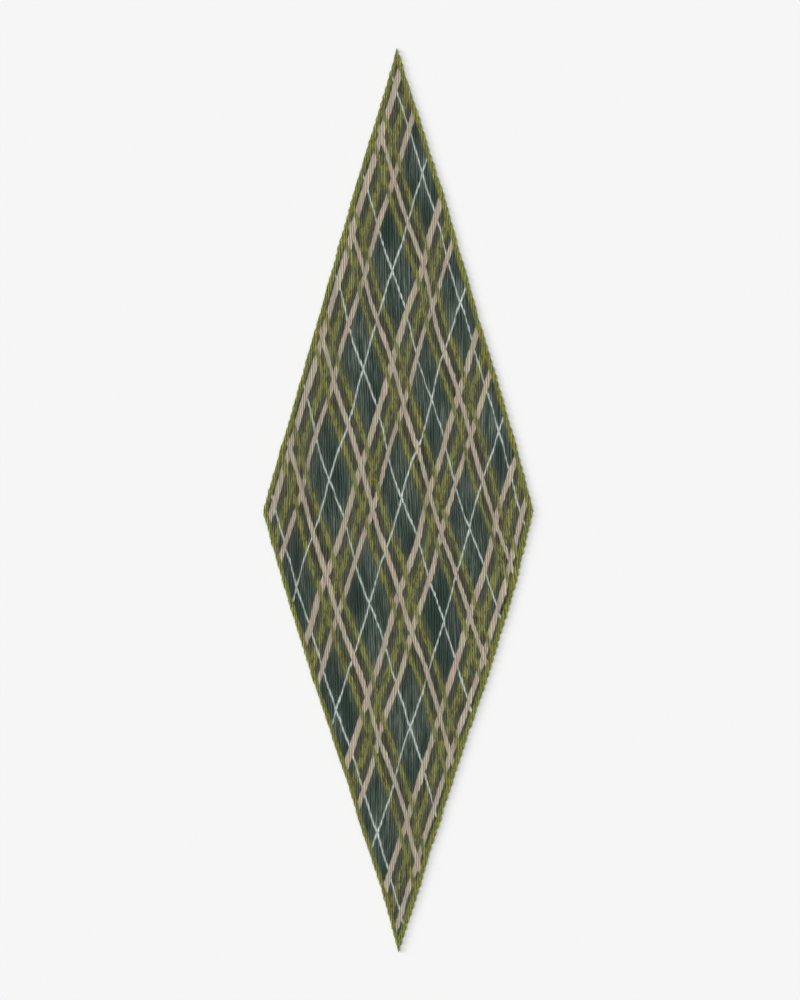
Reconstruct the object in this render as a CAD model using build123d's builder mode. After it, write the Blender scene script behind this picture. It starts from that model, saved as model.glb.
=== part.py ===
from build123d import *

import os
from math import sqrt

# Pleated silk square scarf, laid flat with its fine pleats closed.
# A 900 mm square of silk is pleated parallel to one diagonal, which keeps its length and lies along Y.
# The other one is drawn in by the pleats and lies along X, so the square becomes a long lozenge.
# Z is up, the table is at Z = 0, and the origin is under the middle of the lozenge's length and width.

os.makedirs("parts", exist_ok=True)

# Driving dimensions, in millimetres
cloth_side = 900.0  # the square that the scarf is cut to
pleat_count = 122  # over the whole width
pleat_pitch = 3.12  # from one ridge to the next, as the scarf lies
pleat_lean = 0.2  # how far each ridge stands off the middle of its pleat, towards +X
fold_flat = 0.8  # the pressed crown along each fold
widest_y = -15.0  # the side corners lie a little below mid-length
cloth_thickness = 0.15  # one layer of silk twill
hem_layers = 5  # layers of silk in the rolled edge
hem_width = 3.0  # of cloth, square to its edge
thread_thickness = 0.25
stitch_reach = 0.35  # how far the hem's thread reaches in from the roll, on the cloth
label_length = 40.0
label_width = 22.0
label_from_corner = 45.0  # from the right-hand corner to the label's middle, along the hem
label_above_table = 0.02

# Sizes that follow from them
length = cloth_side * sqrt(2)
width = pleat_count * pleat_pitch
hem_thickness = hem_layers * cloth_thickness
cloth_per_pleat = length / pleat_count
both_faces = cloth_per_pleat - 2 * fold_flat
run_up = pleat_pitch / 2 + pleat_lean - fold_flat  # plan length of the face that climbs towards +X
run_back = pleat_pitch / 2 - pleat_lean - fold_flat  # plan length of the steeper face that drops again
face_up = (both_faces**2 + run_up**2 - run_back**2) / (2 * both_faces)
pleat_height = sqrt(face_up**2 - run_up**2)
first_valley = -fold_flat / 2 - run_up / 2  # puts X = 0 and both side corners half way up a face


def pleat_line(first_pleat, last_pleat):
    """Corners of the folded cloth's middle line, in X and Z, for the pleats from first to last."""
    corners = []
    for pleat in range(first_pleat, last_pleat + 1):
        valley = first_valley + pleat * pleat_pitch
        ridge = valley + fold_flat + run_up
        low = hem_thickness / 2
        corners += [
            Vector(valley - fold_flat / 2, low),
            Vector(valley + fold_flat / 2, low),
            Vector(ridge - fold_flat / 2, low + pleat_height),
            Vector(ridge + fold_flat / 2, low + pleat_height),
        ]
    return corners


def raised_line(corners, distance):
    """The same line moved square to each of its runs, with mitred corners and without its two end points."""
    moved = []
    for before, here, after in zip(corners, corners[1:], corners[2:]):
        square_before = (here - before).normalized().rotate(Axis.Z, 90)
        square_after = (after - here).normalized().rotate(Axis.Z, 90)
        mitre = (square_before + square_after).normalized()
        moved.append(here + mitre * (distance / mitre.dot(square_before)))
    return moved


def lozenge(inset):
    """Top, right, bottom and left corners in plan, this far in from the edge of the flat cloth."""
    share = 1 - 2 * inset / cloth_side
    return [
        Vector(0, widest_y + share * (length / 2 - widest_y)),
        Vector(share * width / 2, widest_y),
        Vector(0, widest_y - share * (length / 2 + widest_y)),
        Vector(-share * width / 2, widest_y),
    ]


def edge_band(side, inset_outer, inset_inner):
    """Corners in plan of a band along one side of the lozenge: side 0 is the upper right, then clockwise."""
    outer = lozenge(inset_outer)
    inner = lozenge(inset_inner)
    following = (side + 1) % 4
    return [outer[side], outer[following], inner[following], inner[side]]


def pleated_piece(plan, underside, topside, first_pleat, last_pleat):
    """Pleated cloth inside a plan outline, between two distances from the cloth's middle line."""
    corners = pleat_line(first_pleat, last_pleat)
    lower_line = raised_line(corners, underside)
    upper_line = raised_line(corners, topside)
    with BuildPart() as piece:
        with BuildSketch(Plane.XZ):
            with BuildLine():
                Polyline(*lower_line, *reversed(upper_line), close=True)
            make_face()
        extrude(amount=length, both=True)
        with BuildSketch(Plane.XY):
            with BuildLine():
                Polyline(*plan, close=True)
            make_face()
        extrude(amount=2 * (pleat_height + hem_thickness), mode=Mode.INTERSECT)
    return piece.part


def write(part, name):
    """Label a finished piece and write its file."""
    part.label = name
    export_step(part, f"parts/{name}.step")


# Pleats by number. Each half runs a little past the middle and past its side corner, so the outline trims it.
first_on_left = -(pleat_count // 2) - 2
last_on_left = 1
first_on_right = -2
last_on_right = pleat_count // 2 + 1

# The pleated silk itself, out to the inner edge of its hems
half_cloth = cloth_thickness / 2
silk_panel = pleated_piece(lozenge(hem_width), -half_cloth, half_cloth, first_on_left, last_on_right)
write(silk_panel, "silk_panel")

# Four rolled hems, mitred at the corners, each with the thread that whips it down on to the silk
sides = {
    "upper_right": (first_on_right, last_on_right),
    "lower_right": (first_on_right, last_on_right),
    "lower_left": (first_on_left, last_on_left),
    "upper_left": (first_on_left, last_on_left),
}
for side, (side_name, pleats) in enumerate(sides.items()):
    hem_plan = edge_band(side, 0, hem_width)
    hem = pleated_piece(hem_plan, -hem_thickness / 2, hem_thickness / 2, *pleats)
    write(hem, f"hem_{side_name}")
    thread_plan = edge_band(side, hem_width, hem_width + stitch_reach)
    thread = pleated_piece(thread_plan, half_cloth, half_cloth + thread_thickness, *pleats)
    write(thread, f"hem_thread_{side_name}")

# Care label: a blank satin tape under the silk, its long edge caught by the lower right hem
_, right_corner, bottom_corner, _ = lozenge(hem_width)
along_hem = (bottom_corner - right_corner).normalized()
label_middle = right_corner + along_hem * label_from_corner
label_plane = Plane(origin=label_middle, x_dir=along_hem, z_dir=(0, 0, 1)).offset(label_above_table)
label_thickness = (hem_thickness - cloth_thickness) / 2 - label_above_table
with BuildPart() as care_label:
    with BuildSketch(label_plane):
        Rectangle(label_length, label_width, align=(Align.CENTER, Align.MAX))
    extrude(amount=label_thickness)
write(care_label.part, "care_label")
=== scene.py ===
"""Looks for the pleated silk scarf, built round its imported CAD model.

The cloth is worked out on the flat square it was cut from. u runs across the pleats and v along them, both
in metres from the middle of the square. folded() says where a point of the flat square lies once the cloth is
pleated, so the silk, its hems, its stitches and its print all come from one description.
"""

import math

import bpy
import numpy as np
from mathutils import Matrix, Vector


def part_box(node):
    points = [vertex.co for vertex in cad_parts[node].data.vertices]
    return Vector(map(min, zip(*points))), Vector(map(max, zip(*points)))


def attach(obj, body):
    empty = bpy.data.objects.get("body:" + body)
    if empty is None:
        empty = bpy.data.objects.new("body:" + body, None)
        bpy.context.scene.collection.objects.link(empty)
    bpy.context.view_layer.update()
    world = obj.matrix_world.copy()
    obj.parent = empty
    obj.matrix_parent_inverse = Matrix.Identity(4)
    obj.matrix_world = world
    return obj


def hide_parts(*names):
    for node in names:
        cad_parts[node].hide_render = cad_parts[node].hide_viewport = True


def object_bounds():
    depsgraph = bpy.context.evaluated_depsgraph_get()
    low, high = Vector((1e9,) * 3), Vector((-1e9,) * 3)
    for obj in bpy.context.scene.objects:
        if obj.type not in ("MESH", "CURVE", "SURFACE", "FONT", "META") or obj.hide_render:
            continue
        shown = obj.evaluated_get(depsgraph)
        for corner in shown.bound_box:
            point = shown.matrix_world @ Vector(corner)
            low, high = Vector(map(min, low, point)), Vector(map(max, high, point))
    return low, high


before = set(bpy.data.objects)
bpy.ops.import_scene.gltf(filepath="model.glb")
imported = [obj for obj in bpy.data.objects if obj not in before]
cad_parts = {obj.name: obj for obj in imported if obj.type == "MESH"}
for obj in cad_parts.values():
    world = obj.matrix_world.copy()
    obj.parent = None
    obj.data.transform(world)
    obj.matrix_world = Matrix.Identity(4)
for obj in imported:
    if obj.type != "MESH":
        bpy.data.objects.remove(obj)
cad_low, cad_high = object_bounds()

MM = 0.001

# The flat cloth and its pleats, with sizes taken from the frame
LENGTH = cad_high.y - cad_low.y
WIDTH = cad_high.x - cad_low.x
CLOTH_SIDE = LENGTH / math.sqrt(2)
HALF_DIAGONAL = LENGTH / 2
WIDEST_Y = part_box("hem_upper_right")[0].y
PLEATS = 122
PITCH = WIDTH / PLEATS
LEAST_PITCH = 0.4 * PITCH
CLOTH_PER_PLEAT = LENGTH / PLEATS
LEAN = 0.15 * MM  # of each ridge from the middle between its valleys
HEM_LEAN = 1.35 * MM  # more lean at the hem, where the stiff roll tips each pleat over
HEM_LEAN_REACH = 14 * MM  # distance along the pleat over which that fades
LEAN_LIMITS = (-1.1 * MM, 1.8 * MM)
LIFT = 0.12 * MM  # usual height of a valley above the lowest ones
CLIMB = CLOTH_PER_PLEAT / 2 + PITCH * LEAN / CLOTH_PER_PLEAT  # cloth from a valley up to its ridge
FOLD_REACH = 0.5 * MM  # cloth on each side of a fold that the fold's curve takes up
ROUNDING = 1.65 * FOLD_REACH  # cloth that rounding a pleat's two folds would save, put back in its height
CLOTH_THICKNESS = 0.15 * MM
HEM_WIDTH = 3.0 * MM
HEM_THICKNESS = 0.95 * MM
MIDDLE_HEIGHT = 0.42 * MM  # of the cloth's middle above the table, in a valley

# The four sides of the square, each with the signs of u and v on it
SIDES = {"upper_right": (1, 1), "lower_right": (1, -1), "lower_left": (-1, -1), "upper_left": (-1, 1)}

# How the pleats stray from even ones. A ripple has a seed and a size, and the length of its waves: how many
# pleats across, and how many metres along.
VALLEY_RIPPLES = [(21, 0.35 * MM, 30, 0.40), (22, 0.22 * MM, 5, 0.12), (23, 0.08 * MM, 2 / 1.7, 0.05)]
LEAN_RIPPLES = [(24, 0.25 * MM, 5, 0.11), (26, 0.35 * MM, 30, 0.35)]
LIFT_RIPPLES = [(25, LIFT, 6, 0.2)]
DRIFT_RIPPLES = [(27, 1.8 * MM, 36, 0.40)]  # whole groups of pleats, inside the hems that hold them
DRIFT_FADE = 160 * MM  # distance from the hem over which the drift grows

# Each valley's own distance from an even spacing, and each ridge's own extra lean, numbered from the left
SPARE = 4
VALLEY_SHIFT = np.random.default_rng(11).normal(0, 0.24 * MM, PLEATS + 2 * SPARE)
RIDGE_SHIFT = np.random.default_rng(12).normal(0, 0.30 * MM, PLEATS + 2 * SPARE)

# From the bottom tip to the top: how far open the pleats lie, and how far the middle one wanders sideways
SHARE_ALONG = (-1.0, -0.88, -0.65, -0.43, -0.20, 0.0, 0.24, 0.46, 0.67, 0.89, 1.0)
OPENNESS = (1.00, 0.985, 1.016, 1.041, 1.035, 1.002, 1.011, 1.022, 1.050, 1.06, 1.06)
WANDER_MM = (0.0, 1.9, 1.8, 2.0, 1.0, -0.2, 0.6, 0.0, -0.3, -1.1, -2.0)
WANDER = tuple(MM * shift for shift in WANDER_MM)


def ripple(seed, pleat, along, pleats_long, metres_long):
    """Smooth seeded noise of about unit size over the pleat number and the place along it."""
    rng = np.random.default_rng(seed)
    waves = 9
    total = np.zeros(np.broadcast(pleat, along).shape)
    for across, lengthwise, phase in zip(
        rng.normal(0, 1, waves), rng.normal(0, 1, waves), rng.uniform(0, 2 * math.pi, waves)
    ):
        turns = across * pleat / pleats_long + lengthwise * along / metres_long
        total += np.cos(2 * math.pi * turns + phase)
    return total * math.sqrt(2 / waves)


def rippled(ripples, pleat, along):
    """The sum of several ripples at one place."""
    return sum(size * ripple(seed, pleat, along, *lengths) for seed, size, *lengths in ripples)


def own_value(values, pleat):
    """A pleat's own value out of a list that runs from the left edge to the right one."""
    return values[np.clip(pleat + PLEATS // 2 + SPARE, 0, len(values) - 1).astype(int)]


def cloth_to_hem(u, v):
    """Cloth from a point of the flat square to the nearest edge, measured along the pleats."""
    return np.maximum(HALF_DIAGONAL - np.abs(u) - np.abs(v), 0)


def valley_x(pleat, v):
    """Place of a valley across the scarf, at a distance along it."""
    share = v / HALF_DIAGONAL
    even = (pleat - CLIMB / CLOTH_PER_PLEAT / 2) * PITCH * np.interp(share, SHARE_ALONG, OPENNESS)
    free = np.minimum(cloth_to_hem(pleat * CLOTH_PER_PLEAT, v) / DRIFT_FADE, 1)
    shift = rippled(VALLEY_RIPPLES, pleat, v) + rippled(DRIFT_RIPPLES, pleat, v) * free
    return even + np.interp(share, SHARE_ALONG, WANDER) + own_value(VALLEY_SHIFT, pleat) + shift


def corner(number, v):
    """A fold's place across the scarf and its height. Even folds are valleys, odd ones ridges after them."""
    pleat = number // 2
    before, after = valley_x(pleat, v), valley_x(pleat + 1, v)
    pitch = np.maximum(after - before, LEAST_PITCH)
    tipped = HEM_LEAN * np.exp(-cloth_to_hem(cloth_of_corner(number), v) / HEM_LEAN_REACH)
    lean = LEAN + own_value(RIDGE_SHIFT, pleat) + rippled(LEAN_RIPPLES, pleat, v) + tipped
    lean = np.clip(lean, *LEAN_LIMITS)
    cloth = CLOTH_PER_PLEAT + ROUNDING
    climb = cloth / 2 + pitch * lean / cloth
    height = np.sqrt(climb**2 - (pitch / 2 + lean) ** 2)
    lift = LIFT + rippled(LIFT_RIPPLES, pleat, v)
    is_ridge = number % 2 == 1
    x = np.where(is_ridge, before + pitch / 2 + lean, before)
    z = np.where(is_ridge, height, np.maximum(lift, 0))
    return x, z


def cloth_of_corner(number):
    """The fold's u on the flat cloth. u = 0 is half way up a climbing face."""
    return (number // 2) * CLOTH_PER_PLEAT + np.where(number % 2 == 1, CLIMB, 0) - CLIMB / 2


def folded(u, v, above=0.0):
    """Place of a point of the flat cloth once it is pleated, raised square to the cloth by a distance."""
    u, v = np.broadcast_arrays(np.asarray(u, float), np.asarray(v, float))
    whole = np.floor((u + CLIMB / 2) / CLOTH_PER_PLEAT)
    on_climb = (u + CLIMB / 2) - whole * CLOTH_PER_PLEAT < CLIMB
    number = (2 * whole + np.where(on_climb, 0, 1)).astype(int)
    places = [corner(number + step, v) for step in (-1, 0, 1, 2)]
    cloth = [cloth_of_corner(number + step) for step in (-1, 0, 1, 2)]
    slope = []
    for k in range(3):
        run = cloth[k + 1] - cloth[k]
        slope.append([(places[k + 1][axis] - places[k][axis]) / run for axis in (0, 1)])
    from_start, to_end = u - cloth[1], cloth[2] - u
    near_start = np.maximum(FOLD_REACH - from_start, 0)
    near_end = np.maximum(FOLD_REACH - to_end, 0)
    point, tangent = [], []
    for axis in (0, 1):
        before, here, after = slope[0][axis], slope[1][axis], slope[2][axis]
        curve = (here - before) * near_start**2 + (after - here) * near_end**2
        point.append(places[1][axis] + here * from_start + curve / (4 * FOLD_REACH))
        turn = (before - here) * near_start + (after - here) * near_end
        tangent.append(here + turn / (2 * FOLD_REACH))
    size = np.hypot(*tangent)
    x = point[0] - tangent[1] / size * above
    z = point[1] + tangent[0] / size * above + MIDDLE_HEIGHT
    stretch = np.where(v > 0, cad_high.y - WIDEST_Y, WIDEST_Y - cad_low.y) / HALF_DIAGONAL
    return np.stack([x, WIDEST_Y + v * stretch, z], axis=-1)


def print_place(u, v):
    """Shares of the flat square's side from the top tip, along its right side and along its left."""
    right = (HALF_DIAGONAL - v + u) / math.sqrt(2) / CLOTH_SIDE
    left = (HALF_DIAGONAL - v - u) / math.sqrt(2) / CLOTH_SIDE
    return np.stack([right, left], axis=-1)


# --- Meshes ---


def mesh_object(name, points, faces, place=None, materials=(), slots=None):
    """A smooth-shaded mesh object, with the flat cloth's coordinates as a UV layer."""
    mesh = bpy.data.meshes.new(name)
    mesh.from_pydata(np.asarray(points).tolist(), [], [list(face) for face in faces])
    for material in materials:
        mesh.materials.append(material)
    if slots is not None:
        mesh.polygons.foreach_set("material_index", np.asarray(slots, dtype=np.int32))
    if place is not None:
        layer = mesh.uv_layers.new(name="cloth")
        corners = np.empty(len(mesh.loops), dtype=np.int32)
        mesh.loops.foreach_get("vertex_index", corners)
        layer.data.foreach_set("uv", np.asarray(place)[corners].astype(np.float32).ravel())
    mesh.polygons.foreach_set("use_smooth", np.ones(len(mesh.polygons), dtype=bool))
    mesh.update()
    piece = bpy.data.objects.new(name, mesh)
    bpy.context.scene.collection.objects.link(piece)
    return piece


def grid_faces(columns, rows, start=0):
    """Quads of a grid whose points are numbered row by row within each column."""
    column, row = np.meshgrid(np.arange(columns - 1), np.arange(rows - 1), indexing="ij")
    first = (start + column * rows + row).ravel()
    return np.stack([first, first + rows, first + rows + 1, first + 1], axis=-1)


def two_skins(columns, rows):
    """Faces of a top skin, of the bottom skin whose points follow it, and of the rim that joins them."""
    count = columns * rows
    upper = grid_faces(columns, rows)
    # Two opposite corners change places, so that both skins split into the same triangles
    lower = grid_faces(columns, rows, count)[:, (0, 3, 2, 1)]
    ring = np.concatenate([
        np.arange(columns) * rows,
        (columns - 1) * rows + np.arange(1, rows),
        np.arange(columns - 2, -1, -1) * rows + rows - 1,
        np.arange(rows - 2, 0, -1),
    ])
    following = np.roll(ring, -1)
    rim = np.stack([ring, ring + count, following + count, following], axis=-1)
    return upper, lower, rim


def fold_columns(low, high):
    """The u of every column of points between two limits: three for each fold."""
    number = np.arange(-2 * PLEATS, 2 * PLEATS)
    folds = cloth_of_corner(number)
    columns = np.sort(np.concatenate([folds - FOLD_REACH, folds, folds + FOLD_REACH]))
    clear = 0.1 * MM  # of the limits
    inside = columns[(columns > low + clear) & (columns < high - clear)]
    return np.concatenate([[low], inside, [high]])


def unit(vectors):
    """The same directions, each one long."""
    return vectors / np.linalg.norm(vectors, axis=-1, keepdims=True)


# --- Materials ---


class Shader:
    """A material's node tree, with short calls for the nodes that the materials share."""

    def __init__(self, name):
        self.material = bpy.data.materials.new(name)
        self.material.use_nodes = True
        self.tree = self.material.node_tree
        self.surface = self.tree.nodes["Principled BSDF"]

    def feed(self, socket, value):
        """Links a socket to another node's output, or sets its value."""
        if isinstance(value, bpy.types.NodeSocket):
            self.tree.links.new(value, socket)
        else:
            socket.default_value = value

    def math(self, operation, first, second=0.0, third=0.0):
        node = self.tree.nodes.new("ShaderNodeMath")
        node.operation = operation
        for socket, value in zip(node.inputs, (first, second, third)):
            self.feed(socket, value)
        return node.outputs[0]

    def add(self, first, second):
        return self.math("ADD", first, second)

    def subtract(self, first, second):
        return self.math("SUBTRACT", first, second)

    def multiply(self, first, second):
        return self.math("MULTIPLY", first, second)

    def larger(self, first, second):
        return self.math("MAXIMUM", first, second)

    def smaller(self, first, second):
        return self.math("MINIMUM", first, second)

    def remap(self, value, from_low, from_high, to_low=0.0, to_high=1.0):
        """The value carried from one range to another, and held inside the second one."""
        node = self.tree.nodes.new("ShaderNodeMapRange")
        for socket, number in zip(node.inputs, (value, from_low, from_high, to_low, to_high)):
            self.feed(socket, number)
        return node.outputs[0]

    def mix(self, factor, first, second):
        """A colour between two others."""
        node = self.tree.nodes.new("ShaderNodeMix")
        node.data_type = "RGBA"
        for socket, value in zip((node.inputs[0], node.inputs[6], node.inputs[7]), (factor, first, second)):
            self.feed(socket, value)
        return node.outputs[2]

    def vector(self, x, y, z=0.0):
        node = self.tree.nodes.new("ShaderNodeCombineXYZ")
        for socket, value in zip(node.inputs, (x, y, z)):
            self.feed(socket, value)
        return node.outputs[0]

    def noise(self, vector, scale=1.0, detail=2.0, roughness=0.5):
        node = self.tree.nodes.new("ShaderNodeTexNoise")
        self.feed(node.inputs["Vector"], vector)
        node.inputs["Scale"].default_value = scale
        node.inputs["Detail"].default_value = detail
        node.inputs["Roughness"].default_value = roughness
        return node.outputs["Fac"]

    def blotches(self, place, per_metre, between, values=(0.0, 1.0), detail=3.0, roughness=0.6):
        """Noise as blotches: the first value where it is under a range and the second where it is over it."""
        return self.remap(self.noise(place, per_metre, detail, roughness), *between, *values)

    def stray(self, place, per_metre, by, detail=2.0, roughness=0.5):
        """A distance that goes smoothly to both sides of 0, by less than half of an amount."""
        return self.multiply(self.subtract(self.noise(place, per_metre, detail, roughness), 0.5), by)

    def bump(self, height, distance, strength):
        node = self.tree.nodes.new("ShaderNodeBump")
        self.feed(node.inputs["Height"], height)
        node.inputs["Distance"].default_value = distance
        node.inputs["Strength"].default_value = strength
        self.tree.links.new(node.outputs["Normal"], self.surface.inputs["Normal"])

    def colour(self, value):
        self.feed(self.surface.inputs["Base Color"], value)

    def finish(self, **values):
        """Sets inputs of the surface, named with underscores for their spaces."""
        for name, value in values.items():
            self.surface.inputs[name.replace("_", " ")].default_value = value

    def object_place(self):
        """Metres in the piece's own frame."""
        return self.tree.nodes.new("ShaderNodeTexCoord").outputs["Object"]

    def cloth_place(self):
        """Metres on the flat square from the top tip, along its right side and along its left."""
        node = self.tree.nodes.new("ShaderNodeUVMap")
        node.uv_map = "cloth"
        split = self.tree.nodes.new("ShaderNodeSeparateXYZ")
        self.tree.links.new(node.outputs[0], split.inputs[0])
        return [self.multiply(split.outputs[axis], CLOTH_SIDE) for axis in (0, 1)]


# Dyes and other colours, all linear
TEAL = (0.016, 0.045, 0.031, 1)
# Paler teal painted in for the satin's sheen, partly wear
TEAL_SHEEN_AND_WEAR = (0.200, 0.235, 0.190, 1)
CHARCOAL = (0.103, 0.095, 0.058, 1)
UMBER = (0.064, 0.054, 0.022, 1)
OLIVE = (0.330, 0.312, 0.076, 1)
OLIVE_DARK = (0.135, 0.118, 0.034, 1)
OLIVE_SOFT = (0.275, 0.290, 0.098, 1)
OLIVE_EDGE = (0.305, 0.310, 0.052, 1)
OLIVE_EDGE_DARK = (0.110, 0.120, 0.026, 1)
OUTLINE = (0.075, 0.058, 0.050, 1)
FLECK = (0.060, 0.050, 0.012, 1)
BEIGE = (0.62, 0.555, 0.405, 1)
BEIGE_ROSE = (0.63, 0.49, 0.40, 1)
PALE = (0.74, 0.80, 0.71, 1)
REVERSE_GREY = (0.30, 0.30, 0.25, 1)
THREAD_DARK = (0.080, 0.085, 0.022, 1)
THREAD = (0.150, 0.155, 0.045, 1)
TAPE_DULL = (0.74, 0.71, 0.63, 1)
TAPE = (0.80, 0.78, 0.72, 1)
PAPER = (0.8, 0.8, 0.8, 1)
SHEEN = (0.85, 0.95, 0.90, 1)

# The plaid. Rising bands run parallel to the upper left side, and falling ones to the upper right side.
# Each family is a group of bands that repeats. A band is its distance from the group's middle and its width.
RISING = {
    "first": 74.5 * MM,
    "repeat": 251 * MM,
    "behind": 100 * MM,
    "beige": [(-42 * MM, 20 * MM), (40 * MM, 17 * MM)],
    "olive": [(1 * MM, 22 * MM)],
}
FALLING = {
    "first": 138.5 * MM,
    "repeat": 190 * MM,
    "behind": 72 * MM,
    "beige": [(0, 13.5 * MM)],
    "olive": [(-31 * MM, 12.5 * MM), (30 * MM, 12.5 * MM)],
}
FALLING_SPREAD = 420 * MM  # past this distance from the upper right side the falling groups are further apart
FALLING_SPREAD_BY = 1.135
PALE_LINE = 4.9 * MM
BORDER = 15.5 * MM
OUTLINE_WIDTH = 5.5 * MM  # of dark added to a band's width, half on each side
HAZE_WIDTH = 14 * MM  # of soft olive added to an olive band's width

# How far an edge of the print fades to each side of its line
LINE_FADE = 1.0 * MM
BAND_FADE = 1.2 * MM
OUTLINE_FADE = 2.2 * MM
HAZE_FADE = 7 * MM
BEHIND_FADE = 10 * MM
FLECKS_FADE = 12 * MM


def band(shader, offset, middle, width, fade):
    """1 inside a band of the print and 0 outside it, where offset is the distance from its group's middle."""
    away = shader.math("ABSOLUTE", shader.subtract(offset, middle))
    return shader.remap(away, width / 2 + fade, width / 2 - fade)


def bands(shader, offset, places, fade, wider=0.0):
    """1 inside any of several bands, which can all be made wider."""
    total = 0.0
    for middle, width in places:
        total = shader.larger(total, band(shader, offset, middle, width + wider, fade))
    return total


def outlined(shader, colour, offset, places, dye, outline):
    """Bands of one dye laid over a colour, with a darker line round them where the outline is strong."""
    around = bands(shader, offset, places, OUTLINE_FADE, OUTLINE_WIDTH)
    colour = shader.mix(shader.multiply(around, outline), colour, OUTLINE)
    return shader.mix(bands(shader, offset, places, BAND_FADE), colour, dye)


def scaled(shader, first, second, first_scale, second_scale):
    """A place on the cloth for a noise to read, stretched differently in two directions."""
    return shader.vector(shader.multiply(first, first_scale), shader.multiply(second, second_scale))


def group_offset(shader, distance, family):
    """Distance from the middle of the nearest group of bands."""
    number = shader.math("DIVIDE", shader.subtract(distance, family["first"]), family["repeat"])
    return shader.multiply(shader.subtract(number, shader.math("ROUND", number)), family["repeat"])


def both_offsets(shader, right, left, place):
    """Distances from the nearest rising and falling groups, in a print that wanders a little."""
    rising = shader.add(right, shader.stray(place, 21, 6 * MM))
    spread = shader.larger(shader.subtract(left, FALLING_SPREAD), 0)
    spread = shader.multiply(spread, 1 - 1 / FALLING_SPREAD_BY)
    falling = shader.add(shader.subtract(left, spread), shader.stray(place, 26, 6 * MM))
    return group_offset(shader, rising, RISING), group_offset(shader, falling, FALLING)


def ground_dye_and_sheen(shader, right, left, place):
    """Teal, paler in streaks along the pleats and in broad patches: painted sheen of the satin, partly wear.
    """
    across_pleats, along_pleats = shader.subtract(right, left), shader.add(right, left)
    streaks = scaled(shader, across_pleats, along_pleats, 95, 16)
    # Painted sheen, partly wear: paler streaks about a pleat wide, long along the pleats
    sheen_streak = shader.blotches(streaks, 1, (0.42, 0.68), detail=4, roughness=0.65)
    # Painted sheen: broad patches where the paler streaks show more strongly
    sheen_bloom = shader.blotches(place, 8, (0.38, 0.60), (0.02, 1.25), roughness=0.5)
    return shader.mix(shader.multiply(sheen_streak, sheen_bloom), TEAL, TEAL_SHEEN_AND_WEAR)


def shaded(shader, colour, place, rising, falling):
    """Browner dyes laid behind the groups of bands, and a soft olive round the olive ones, all in patches."""
    ragged = shader.stray(place, 38, 60 * MM, detail=3, roughness=0.6)
    patchy = shader.blotches(place, 60, (0.35, 0.65), (0.25, 1.0))
    for offset, family, dye in ((rising, RISING, CHARCOAL), (falling, FALLING, UMBER)):
        behind = band(shader, shader.add(offset, ragged), 0, family["behind"], BEHIND_FADE)
        colour = shader.mix(shader.multiply(behind, patchy), colour, dye)
    faint = shader.multiply(patchy, 0.4)
    for offset, family in ((falling, FALLING), (rising, RISING)):
        haze = bands(shader, shader.add(offset, ragged), family["olive"], HAZE_FADE, HAZE_WIDTH)
        colour = shader.mix(shader.multiply(haze, faint), colour, OLIVE_SOFT)
    return colour


def olive_dye(shader, place):
    """The olive of the bands, mottled in clumps."""
    mottle = shader.blotches(place, 42, (0.44, 0.60))
    clumps = shader.blotches(place, 62, (0.38, 0.46), (0.80, 0.0))
    return shader.mix(clumps, shader.mix(mottle, OLIVE_SOFT, OLIVE), OLIVE_DARK)


def beige_dye(shader, place):
    """The beige of the bands, rosier in places."""
    return shader.mix(shader.blotches(place, 30, (0.46, 0.62)), BEIGE, BEIGE_ROSE)


def edge_dye(shader, place):
    """The olive of the border and of the hems rolled from it, darker in blotches."""
    blotch = shader.blotches(place, 150, (0.40, 0.56), (0.25, 1.0), detail=4, roughness=0.65)
    return shader.mix(blotch, OLIVE_EDGE_DARK, OLIVE_EDGE)


def flecks(shader, place, rising, falling):
    """Where the small dark flecks lie, all of them among the bands."""
    near_bands = 0.0
    for offset, family in ((rising, RISING), (falling, FALLING)):
        near_bands = shader.larger(near_bands, band(shader, offset, 0, family["behind"], FLECKS_FADE))
    fleck = shader.blotches(place, 88, (0.54, 0.60), (0.0, 0.8), roughness=0.65)
    return shader.multiply(fleck, near_bands)


def overcheck(shader, rising, falling):
    """Where the pale lines lie: half way between the groups."""
    lines = 0.0
    for offset, family in ((rising, RISING), (falling, FALLING)):
        from_half_way = shader.subtract(shader.math("ABSOLUTE", offset), family["repeat"] / 2)
        lines = shader.larger(lines, band(shader, from_half_way, 0, PALE_LINE, LINE_FADE))
    return lines


def border(shader, right, left):
    """Where the border lies, on all four sides."""
    from_upper = shader.smaller(right, left)
    from_lower = shader.smaller(shader.subtract(CLOTH_SIDE, right), shader.subtract(CLOTH_SIDE, left))
    from_edge = shader.smaller(from_upper, from_lower)
    return shader.remap(from_edge, BORDER + BAND_FADE, BORDER - BAND_FADE)


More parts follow.
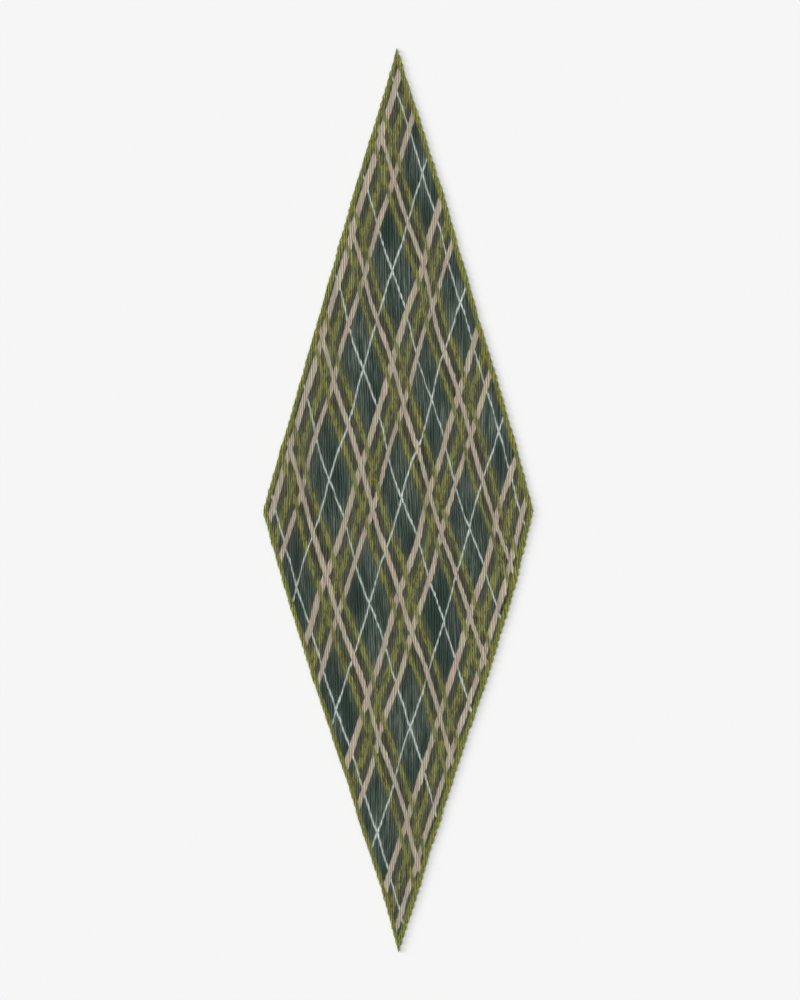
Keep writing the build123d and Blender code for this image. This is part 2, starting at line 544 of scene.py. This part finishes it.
def printed_colour(shader):
    """The print: a diagonal plaid in beige and olive on teal, with a pale overcheck and an olive border. The
    teal also carries painted sheen.
    """
    right, left = shader.cloth_place()
    place = shader.vector(right, left)
    rising, falling = both_offsets(shader, right, left, place)
    colour = ground_dye_and_sheen(shader, right, left, place)
    colour = shaded(shader, colour, place, rising, falling)

    olive, beige = olive_dye(shader, place), beige_dye(shader, place)
    outline = shader.blotches(place, 52, (0.40, 0.60), (0.0, 0.75), detail=2, roughness=0.5)
    faint_outline = shader.multiply(outline, 0.7)
    rough = shader.stray(place, 95, 10 * MM)
    colour = outlined(shader, colour, shader.add(rising, rough), RISING["olive"], olive, faint_outline)
    colour = outlined(shader, colour, rising, RISING["beige"], beige, outline)
    colour = outlined(shader, colour, shader.add(falling, rough), FALLING["olive"], olive, faint_outline)

    off_beige = shader.subtract(1, bands(shader, rising, RISING["beige"], BAND_FADE))
    colour = shader.mix(shader.multiply(flecks(shader, place, rising, falling), off_beige), colour, FLECK)
    colour = shader.mix(shader.multiply(overcheck(shader, rising, falling), off_beige), colour, PALE)
    colour = outlined(shader, colour, falling, FALLING["beige"], beige, outline)
    return shader.mix(border(shader, right, left), colour, edge_dye(shader, place))


def add_twill(shader, strength):
    """The fine diagonal rib of silk twill, with slubs along its threads, as a bump."""
    pitch = 0.45 * MM
    slant = 0.55
    depth = 0.03 * MM
    right, left = shader.cloth_place()
    across = shader.multiply(shader.add(right, shader.multiply(left, slant)), 2 * math.pi / pitch)
    slub = shader.noise(scaled(shader, right, left, 1500, 120))
    shader.bump(shader.math("MULTIPLY_ADD", shader.math("SINE", across), 0.5, slub), depth, strength)


def add_silk_finish(shader):
    """Satin sheen of silk, and the light that its thin cloth lets through from face to face."""
    shader.finish(Subsurface_Weight=0.75, Subsurface_Radius=(1.0, 0.9, 0.7), Subsurface_Scale=0.9 * MM)
    shader.finish(Roughness=0.42, Specular_IOR_Level=0.55)
    shader.finish(Sheen_Weight=0.35, Sheen_Roughness=0.35, Sheen_Tint=SHEEN)


def silk_material(name, fade=0.0):
    """Printed silk twill. The reverse is the same print, paler where the dye has gone less far through."""
    shader = Shader(name)
    colour = printed_colour(shader)
    if fade:
        colour = shader.mix(fade, colour, REVERSE_GREY)
    shader.colour(colour)
    add_silk_finish(shader)
    add_twill(shader, strength=0.5)
    return shader.material


def hem_material():
    """The rolled edge: silk in the border's olive."""
    shader = Shader("hem_silk")
    shader.colour(edge_dye(shader, shader.vector(*shader.cloth_place())))
    add_silk_finish(shader)
    add_twill(shader, strength=0.6)
    return shader.material


def thread_material():
    """Twisted sewing thread, a shade darker than the hem."""
    shader = Shader("hem_thread")
    ply = shader.noise(shader.object_place(), 4200)
    shader.colour(shader.mix(shader.remap(ply, 0.35, 0.65), THREAD_DARK, THREAD))
    shader.finish(Roughness=0.5, Sheen_Weight=0.2)
    shader.bump(ply, 0.04 * MM, 0.6)
    return shader.material


def label_material():
    """Ivory satin tape with a fine rib."""
    rib_pitch = 0.3 * MM
    shader = Shader("label_satin")
    place = shader.object_place()
    split = shader.tree.nodes.new("ShaderNodeSeparateXYZ")
    shader.feed(split.inputs[0], place)
    rib = shader.math("SINE", shader.multiply(split.outputs[1], 2 * math.pi / rib_pitch))
    shader.colour(shader.mix(shader.blotches(place, 180, (0.35, 0.7), roughness=0.5), TAPE_DULL, TAPE))
    shader.finish(Roughness=0.38, Sheen_Weight=0.2)
    shader.bump(rib, 0.02 * MM, 0.5)
    return shader.material


def floor_material():
    """Plain pale paper with a very slight tooth."""
    shader = Shader("studio_floor")
    shader.colour(PAPER)
    shader.finish(Roughness=0.9, Specular_IOR_Level=0.0)
    shader.bump(shader.noise(shader.object_place(), 900), 0.02 * MM, 0.2)
    return shader.material


# --- Pieces ---


def make_panel(face, reverse):
    """The pleated silk: two skins a cloth's thickness apart, joined at a rim inside the hem."""
    end = HALF_DIAGONAL - HEM_WIDTH / 2 * math.sqrt(2)
    blunt = 0.6 * MM  # cut off each side corner
    rows = 65
    crowding = 0.25  # of the rows towards the hems
    right_half = fold_columns(0, end - blunt)
    columns = np.concatenate([fold_columns(-end + blunt, 0)[:-1], right_half])
    share = np.linspace(-1, 1, rows)
    share = (1 + crowding) * share - crowding * share**3
    u = np.repeat(columns[:, None], rows, axis=1)
    v = (end - np.abs(u)) * share[None, :]
    points = [folded(u, v, above).reshape(-1, 3) for above in (CLOTH_THICKNESS / 2, -CLOTH_THICKNESS / 2)]
    upper, lower, rim = two_skins(len(columns), rows)
    faces = np.concatenate([upper, lower, rim])
    slots = np.concatenate([np.zeros(len(upper)), np.ones(len(lower)), np.zeros(len(rim))])
    place = print_place(u, v).reshape(-1, 2)
    place = np.concatenate([place, place])
    return mesh_object("silk_panel_pleated", np.concatenate(points), faces, place, (face, reverse), slots)


def make_hem(name, across, along, material):
    """One rolled hem, from a tip to a side corner. across and along are the signs of u and v on its side."""
    short_by = 0.5 * MM  # of the side corner
    end = HALF_DIAGONAL - short_by
    columns = fold_columns(0, end)
    if across < 0:
        columns = -fold_columns(-end, 0)[::-1]
    around = 10
    angle = np.linspace(0, 2 * math.pi, around, endpoint=False)
    inset = HEM_WIDTH / 2 * (1 - np.cos(angle))
    raised = HEM_THICKNESS / 2 * np.sin(angle)
    u = across * np.repeat(columns[:, None], around, axis=1)
    v = along * np.maximum(HALF_DIAGONAL - np.abs(u) - inset[None, :] * math.sqrt(2), 0)
    points = folded(u, v, np.repeat(raised[None, :], len(columns), axis=0)).reshape(-1, 3)
    start = np.arange(len(columns) - 1)[:, None] * around
    step = np.arange(around)[None, :]
    first = (start + step).ravel()
    beside = (start + (step + 1) % around).ravel()
    faces = np.stack([first, beside, beside + around, first + around], axis=-1)
    caps = [list(range(around)), [(len(columns) - 1) * around + k for k in range(around)][::-1]]
    if across * along > 0:
        faces = faces[:, ::-1]
        caps = [cap[::-1] for cap in caps]
    place = print_place(u, v).reshape(-1, 2)
    return mesh_object(name, points, faces.tolist() + caps, place, (material,))


def stitch_paths(across, along, bulge, travel):
    """Middle lines of one side's stitches, and the directions out of the cloth along them."""
    spacing = 3.6 * MM
    slant = 0.8 * MM  # of each stitch along the edge
    clear_of_tip, clear_of_side = 6 * MM, 8 * MM
    outer_end, reach = 0.62, 0.55  # in hem widths: how far in a stitch starts, and how much further it goes
    rng = np.random.default_rng(31 + 2 * (across > 0) + (along > 0))
    start = np.arange(clear_of_tip, CLOTH_SIDE - clear_of_side, spacing)
    start = start + rng.uniform(-0.3, 0.3, len(start)) * MM
    uneven = rng.uniform(-0.15, 0.15, (len(start), 1)) * MM
    inset = HEM_WIDTH * (outer_end + reach * travel)[None, :] + uneven
    edge = start[:, None] + slant * travel[None, :]
    u = across * (edge - inset) / math.sqrt(2)
    v = along * (HALF_DIAGONAL - (edge + inset) / math.sqrt(2))
    over_roll = np.clip((inset - HEM_WIDTH / 2) / (HEM_WIDTH / 2), 0, 1)
    surface = np.maximum(HEM_THICKNESS / 2 * np.sqrt(1 - over_roll**2), CLOTH_THICKNESS / 2)
    middle = folded(u, v, surface + bulge * np.sin(math.pi * travel)[None, :])
    return middle, unit(folded(u, v, surface + 1.0 * MM) - middle)


def make_stitches(name, across, along, material):
    """The whip stitches that hold one hem down: short slanting bars of thread over the roll's inner edge."""
    half_thick = 0.13 * MM
    steps = 5
    around = 6
    travel = np.linspace(0, 1, steps)
    middle, outward = stitch_paths(across, along, half_thick * 0.6, travel)
    sideways = unit(np.cross(unit(np.gradient(middle, axis=1)), outward))
    angle = np.linspace(0, 2 * math.pi, around, endpoint=False)
    # Half as thick at its two ends, where the thread goes into the silk
    radius = half_thick * np.sqrt(1 - 0.75 * (2 * travel - 1) ** 4)
    ring = outward[:, :, None, :] * np.cos(angle)[None, None, :, None]
    ring = ring + sideways[:, :, None, :] * np.sin(angle)[None, None, :, None]
    points = middle[:, :, None, :] + ring * radius[None, :, None, None]
    faces = []
    per_stitch = steps * around
    for stitch in range(len(middle)):
        base = stitch * per_stitch
        for step in range(steps - 1):
            for k in range(around):
                a = base + step * around + k
                b = base + step * around + (k + 1) % around
                faces.append([a, a + around, b + around, b])
        faces.append([base + k for k in range(around)])
        faces.append([base + per_stitch - 1 - k for k in range(around)])
    return mesh_object(name, points.reshape(-1, 3), faces, None, (material,))


def label_profile(low, high, depth, thick):
    """The folded tape from its side: points half way through it, as depth from the hem and height."""
    flat_steps = 8
    bend_steps = 6
    low_leaf, high_leaf = low.z + thick / 2, high.z - thick / 2
    bend = (high_leaf - low_leaf) / 2
    flat_run = depth - bend - thick / 2
    path = [(flat_run * k / flat_steps, low_leaf) for k in range(flat_steps + 1)]
    for k in range(1, bend_steps):
        turn = math.pi * k / bend_steps
        path.append((flat_run + bend * math.sin(turn), low_leaf + bend * (1 - math.cos(turn))))
    path += [(flat_run * k / flat_steps, high_leaf) for k in range(flat_steps, -1, -1)]
    return np.array(path)


def make_label(material):
    """The blank care label: satin tape folded in two, flat under the silk with its ends caught in the hem."""
    low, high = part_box("care_label")
    slope = Vector((-WIDTH / 2, cad_low.y - WIDEST_Y, 0)).normalized()
    inward = Vector((slope.y, -slope.x, 0))
    turned = abs(slope.x), abs(slope.y)
    span_x, span_y = high.x - low.x, high.y - low.y
    # The box round a slanted rectangle gives back its two sides
    scale = turned[1] ** 2 - turned[0] ** 2
    long_side = (span_y * turned[1] - span_x * turned[0]) / scale
    short_side = (span_x * turned[1] - span_y * turned[0]) / scale
    centre = (low + high) / 2
    thick = 0.1 * MM
    path = label_profile(low, high, short_side, thick)
    tangent = unit(np.gradient(path, axis=0))
    normal = np.stack([tangent[:, 1], -tangent[:, 0]], axis=-1)
    rows = 13
    points = []
    for side in (1, -1):
        for depth, z in path + normal * side * thick / 2:
            for shift in np.linspace(-0.5, 0.5, rows) * long_side:
                place = centre + inward * (depth - short_side / 2) + slope * shift
                points.append((place.x, place.y, z))
    faces = np.concatenate(two_skins(len(path), rows))
    label = mesh_object("care_label_tape", points, faces, None, (material,))
    return label, (long_side, 2 * short_side)


# --- Studio ---


def make_floor():
    """A plain floor at the height that the scarf rests on."""
    half = 14.0
    corners = [(x * half, y * half, cad_low.z) for x, y in ((-1, -1), (1, -1), (1, 1), (-1, 1))]
    floor = mesh_object("floor", corners, [[0, 1, 2, 3]], None, (floor_material(),))


def make_sun(name, strength, spread, towards):
    """A soft distant light. spread is its width in degrees."""
    light = bpy.data.lights.new(name, "SUN")
    light.energy = strength
    light.angle = math.radians(spread)
    lamp = bpy.data.objects.new(name, light)
    lamp.rotation_euler = Vector(towards).to_track_quat("-Z", "Y").to_euler()
    bpy.context.scene.collection.objects.link(lamp)


def make_lights():
    """A broad soft light overhead, a weaker low one from the left for the shadow, and a little all round."""
    world = bpy.data.worlds.new("studio")
    world.use_nodes = True
    background = world.node_tree.nodes["Background"]
    background.inputs["Color"].default_value = (1.0, 1.0, 1.0, 1)
    background.inputs["Strength"].default_value = 0.28
    bpy.context.scene.world = world
    make_sun("overhead", strength=2.12, spread=60, towards=(0.15, -0.25, -1.0))
    make_sun("key", strength=1.45, spread=26, towards=(1.0, -0.30, -0.57))


def make_camera():
    """Straight above the scarf, with +Y up the frame."""
    camera = bpy.data.cameras.new("camera")
    camera.lens = 110
    camera.clip_end = 100
    seen_height = 1.408  # metres of table from the top of the frame to the bottom
    right_of_middle = 2.8 * MM
    distance = seen_height * camera.lens / camera.sensor_width
    holder = bpy.data.objects.new("camera", camera)
    holder.location = (right_of_middle, 0.0, distance + cad_high.z / 2)
    bpy.context.scene.collection.objects.link(holder)
    bpy.context.scene.camera = holder


def main():
    make_floor()
    make_lights()
    make_camera()
    bpy.context.scene.view_settings.view_transform = "Standard"

    panel = make_panel(silk_material("printed_silk"), silk_material("printed_silk_reverse", fade=0.35))
    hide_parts("silk_panel")
    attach(panel, "root")

    hem_silk, thread = hem_material(), thread_material()
    trims = []
    for side, (across, along) in SIDES.items():
        hem = make_hem(f"hem_roll_{side}", across, along, hem_silk)
        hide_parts(f"hem_{side}")
        stitches = make_stitches(f"hem_stitches_{side}", across, along, thread)
        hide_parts(f"hem_thread_{side}")
        trims += [hem, stitches]

    label, label_cut = make_label(label_material())
    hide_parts("care_label")
    for piece in (*trims, label):
        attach(piece, "root")


main()
